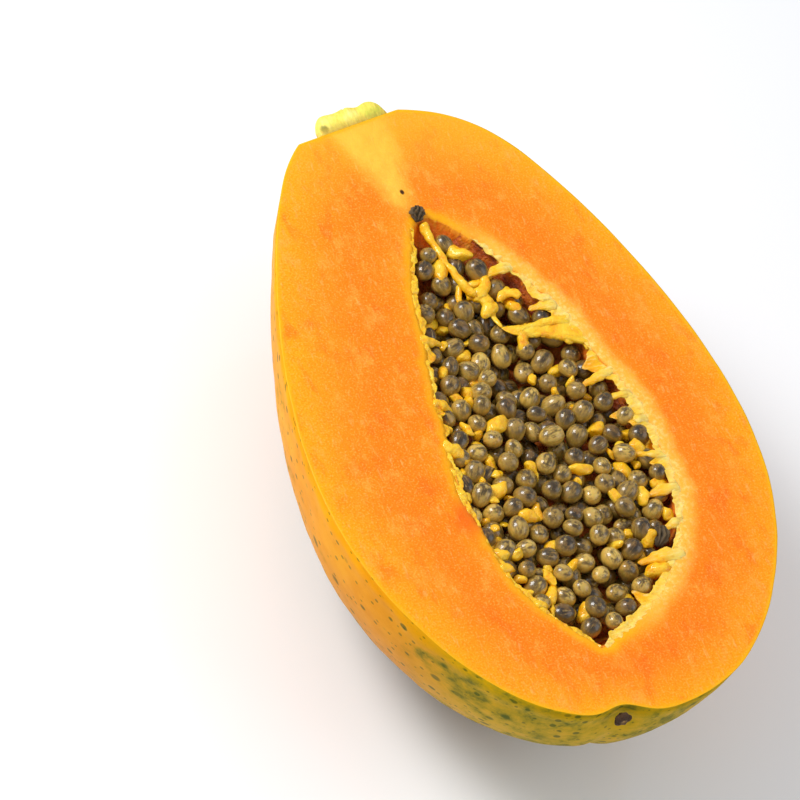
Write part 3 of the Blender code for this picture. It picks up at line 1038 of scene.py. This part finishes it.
def blob_tree():
    n = Nodes("stalk_ends", [("Radius", "NodeSocketFloat"), ("Roughness", "NodeSocketFloat"),
                             ("Finish", "NodeSocketMaterial")])
    ball = n.add("GeometryNodeMeshIcoSphere", {}, {"Radius": n.given("Radius"), "Subdivisions": 3})["Mesh"]
    whole = n.copies(ball)
    place = n.add("GeometryNodeInputPosition")[0]
    rough = n.add("ShaderNodeTexNoise", {}, {"Vector": place, "Scale": 300.0, "Detail": 2.0})["Color"]
    moved = n.add("ShaderNodeVectorMath", {"operation": "SUBTRACT"}, {0: rough, 1: (0.5, 0.5, 0.5)})[0]
    amount = n.given("Roughness")
    push = n.add("ShaderNodeVectorMath", {"operation": "SCALE"}, {0: moved, "Scale": amount})[0]
    lumpy = n.add("GeometryNodeSetPosition", {}, {"Geometry": whole, "Offset": push})[0]
    smooth = n.add("GeometryNodeSetShadeSmooth", {}, {0: lumpy})[0]
    n.end(smooth)
    return n


BLOB_COUNT, BLOB_TRIES = 88, 9000
blob_spots, blob_widths = [], []
for _ in range(BLOB_TRIES):
    if len(blob_spots) == BLOB_COUNT:
        break
    y = rng.uniform(-69.0, 52.0)
    centre, half = (float(v) for v in cavity_at(y))
    x = centre + half * rng.choice((-1.0, 1.0)) * rng.random() ** 0.45
    p = np.array((x, y, min(-1.6, crown(x, y) + rng.uniform(-2.2, 0.9))))
    others = min((float(((p - q) ** 2).sum()) for q in blob_spots), default=99.0)
    if 2.8 < gap_at(p) < 4.6 and room(*p) > 0.4 and others > 12.0 and not under_tissue(x, y):
        blob_spots.append(p)
        blob_widths.append(rng.uniform(1.1, 2.5))
blob_turns, blob_sizes = [], []
for width in blob_widths:
    blob_turns.append((rng.uniform(0, 6.28), rng.uniform(0, 6.28), rng.uniform(0, 6.28)))
    slim, flat, long = rng.uniform(0.6, 0.9), rng.uniform(0.6, 0.9), rng.uniform(1.0, 1.7)
    blob_sizes.append((width * slim, width * flat, width * long))
stalk_ends = blob_tree().grow(
    "stalk_ends",
    point_cloud("stalk_points", blob_spots, blob_turns, blob_sizes, [0.5] * len(blob_spots)),
    {"Radius": 1.0 * MM, "Roughness": 2.6 * MM, "Finish": strand_finish()},
)
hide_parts("seed_bed")
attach(stalk_ends, "root")


# ---------------------------------------------------------------------------
# Torn edge. What the knife left of the placenta round the mouth: smooth yellow lobes between the
# seeds on the left, and flat tongues on the right that are pale at the root and yellow at the tip.

def mouth_line(angle):
    y = CAVITY_TOP - CAVITY_LENGTH * 0.5 * (1.0 - math.cos(angle))
    centre, half = (float(v) for v in cavity_at(y))
    return np.array((centre + math.copysign(half, math.sin(angle)), y, 0.0))


def tongue_finish():
    f = Finish("pale_tissue", Subsurface_Weight=0.35, Subsurface_Scale=0.002, IOR=1.4,
               Subsurface_Radius=(1.0, 0.65, 0.25))
    at = f.place()
    along = f.attribute("along")
    streak = f.noise(f.place((0.5, 1.9, 1.0)), 1.3, 4.0, 0.6)
    patch = f.noise(at, 3.0, 3.0)
    colour = f.ramp(
        along + (patch - 0.5) * 0.5,
        (0.1, 253, 208, 104),
        (0.32, 253, 202, 72),
        (0.58, 252, 186, 16),
        (1.0, 244, 164, 0),
    )
    colour = f.tint(colour, streak.over(0.5, 0.68) * 0.45, 253, 228, 150)
    colour = f.tint(colour, streak.over(0.46, 0.3) * 0.45, 214, 134, 8)
    return f.wear(Base_Color=colour, Roughness=0.3 + 0.25 * streak, Normal=f.bump(streak, 0.4, 0.7))


def fringe(start, end, reach, slant, drop, thick):
    """A ragged sheet along part of the mouth, rooted in the flesh and torn towards the seeds."""
    steps, across = 640, 11
    turns = 2 * across
    points, along = [], []
    for i in range(steps + 1):
        share = i / steps
        ends = min(1.0, share * 14.0, (1.0 - share) * 14.0)
        angle = start + (end - start) * share
        ahead = mouth_line(angle + 0.004) - mouth_line(angle - 0.004)
        inward = np.array((ahead[1], -ahead[0], 0.0)) / np.linalg.norm(ahead)
        far = reach(mouth_line(angle)) * ends
        for k in range(turns):
            top_side = k < across
            v = (k if top_side else turns - 1 - k) / (across - 1.0)
            root = mouth_line(angle + slant * (v * far) ** 1.3)
            p = root + inward * (-1.3 + (far + 1.3) * v)
            rough = noise.noise(Vector(p) / 1.7) * 0.55 + noise.noise(Vector(p) / 0.7) * 0.25
            body = thick * math.sqrt(max(0.0, 1.0 - v**4)) * (0.4 + 0.6 * ends) + 0.08
            level = -0.5 - drop * (v * far) ** 1.4 + rough * min(1.0, v * 3.0)
            p[2] = min(level, -0.06) if top_side else min(level, -0.06) - body
            points.append(p)
            along.append(min(1.0, v * far / 4.5))
    return points, sleeve(steps, turns), along


def torn_right(p):
    broad = 0.5 + 0.5 * noise.noise(p_at(p, 8.0, 1.0))
    warp = p + 1.5 * noise.noise(p_at(p, 4.0, 8.0))
    finger = max(0.0, noise.noise(p_at(warp, 3.1, 2.0)) * 1.3 + 0.12)
    small = max(0.0, noise.noise(p_at(warp, 1.25, 3.0)))
    middle = math.exp(-(((p[1] + 6.0) / 22.0) ** 2)) + 1.2 * math.exp(-(((p[1] + 60.0) / 12.0) ** 2))
    return 0.5 + 1.3 * broad + (1.6 + 4.0 * middle) * finger + 0.9 * small * broad + 1.0 * middle


def torn_left(p):
    lobe = max(0.0, noise.noise(p_at(p, 2.6, 5.0)) * 1.6 + 0.25) ** 0.6
    broad = max(0.0, noise.noise(p_at(p, 7.0, 6.0)) + 0.35)
    middle = math.exp(-(((p[1] - 4.0) / 22.0) ** 2))
    return 0.2 + (1.1 + 2.2 * middle) * lobe * (0.4 + broad) + 0.9 * broad * (0.3 + middle)


def p_at(p, size, seed):
    return Vector((p[0] / size, p[1] / size, seed * 7.3))


def pulled(angle, length, heading, wide, flat):
    """A strip torn loose from the mouth's edge: how far round it is, its length, lean and half-width."""
    root = mouth_line(angle)
    inward = -1.0 if angle < math.pi else 1.0
    way = np.array((inward * math.cos(heading), math.sin(heading), 0.0))
    path = []
    for share in (-0.2, 0.3, 0.65, 1.0):
        path.append(root + way * length * share + np.array((0.0, 0.0, -1.0 - 2.6 * share**2)))
    return tube(path, (wide, wide, wide * 0.7, wide * 0.3), flat, 16, 8, angle * 9.0, 0.5)


right_shapes = [fringe(0.5, 3.06, torn_right, -0.0022, 0.16, 0.9)]
for settings in ((0.75, 7.5, -0.2, 1.5, 0.5), (1.02, 5.5, 0.2, 1.6, 0.5), (1.38, 9.5, -0.25, 1.5, 0.5),
                 (1.5, 7.0, 0.1, 1.2, 0.5), (1.62, 5.0, 0.35, 1.6, 0.45), (1.8, 9.0, 0.35, 1.0, 0.7),
                 (1.95, 7.0, 0.0, 1.7, 0.5), (2.12, 6.0, -0.2, 1.2, 0.6), (2.3, 9.5, 0.1, 2.0, 0.6)):
    right_shapes.append(pulled(*settings))
left_shapes = [fringe(3.2, 5.95, torn_left, 0.0, 0.22, 1.5)]
for settings in ((3.8, 4.0, 0.2, 1.4, 0.8), (4.05, 4.5, 0.1, 1.3, 0.8), (4.65, 7.5, -0.7, 1.8, 0.8),
                 (4.85, 5.0, -0.3, 1.5, 0.8), (5.15, 6.0, 0.0, 1.4, 0.8)):
    left_shapes.append(pulled(*settings))
right_tongues = joined("right_tongues", right_shapes, tongue_finish())
left_lobes = joined("left_lobes", left_shapes, strand_finish())
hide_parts("seed_bed")
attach(right_tongues, "root")
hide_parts("seed_bed")
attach(left_lobes, "root")


# ---------------------------------------------------------------------------
# Studio. A glossy white table, a broad soft light from the upper left, a weak one from the
# right, and white surroundings.

floor_mesh = bpy.data.meshes.new("table_top")
reach = 3.0
corners = [(-reach, -reach, 0.0), (reach, -reach, 0.0), (reach, reach, 0.0), (-reach, reach, 0.0)]
floor_mesh.from_pydata(corners, [], [(0, 1, 2, 3)])
table_top = bpy.data.objects.new("table_top", floor_mesh)
bpy.context.scene.collection.objects.link(table_top)
white = Finish("white_table", Base_Color=linear(250, 250, 252), Roughness=0.16, IOR=1.55)
floor_mesh.materials.append(white.material)

world = bpy.data.worlds.new("white_room")
bpy.context.scene.world = world
world.use_nodes = True
world.node_tree.nodes["Background"].inputs[0].default_value = (0.95, 0.975, 1.0, 1.0)
world.node_tree.nodes["Background"].inputs[1].default_value = 0.53


def soft_light(name, towards, distance, size, power):
    """A square panel that faces the middle of the fruit."""
    way = Vector(towards).normalized()
    lamp = bpy.data.lights.new(name, "AREA")
    lamp.size, lamp.energy = size, power
    held = bpy.data.objects.new(name, lamp)
    held.location = Vector((0.0, 0.0, 0.03)) + way * distance
    held.rotation_euler = way.to_track_quat("Z", "Y").to_euler()
    bpy.context.scene.collection.objects.link(held)


soft_light("key_panel", (-0.63, 0.44, 0.71), 0.8, 0.34, 5.6)
soft_light("fill_panel", (0.75, -0.5, 0.7), 1.0, 0.7, 2.0)

azimuth, elevation, roll = math.radians(-42.1), math.radians(48.93), math.radians(27.02)
distance = 902.1
flat = math.cos(elevation)
back = Vector((math.sin(azimuth) * flat, -math.cos(azimuth) * flat, math.sin(elevation)))
level = Vector((math.cos(azimuth), math.sin(azimuth), 0.0))
right = level * math.cos(roll) + back.cross(level) * math.sin(roll)
aim = Vector((-27.5, 3.05, 0.0)) + MIDDLE
lens = bpy.data.cameras.new("camera")
lens.sensor_width = 36.0
lens.lens = 171.26
camera = bpy.data.objects.new("camera", lens)
turn = Matrix((right, back.cross(right), back)).transposed()
camera.matrix_world = Matrix.Translation((aim + back * distance) * MM) @ turn.to_4x4()
bpy.context.scene.collection.objects.link(camera)
bpy.context.scene.camera = camera
bpy.context.scene.view_settings.view_transform = "Standard"
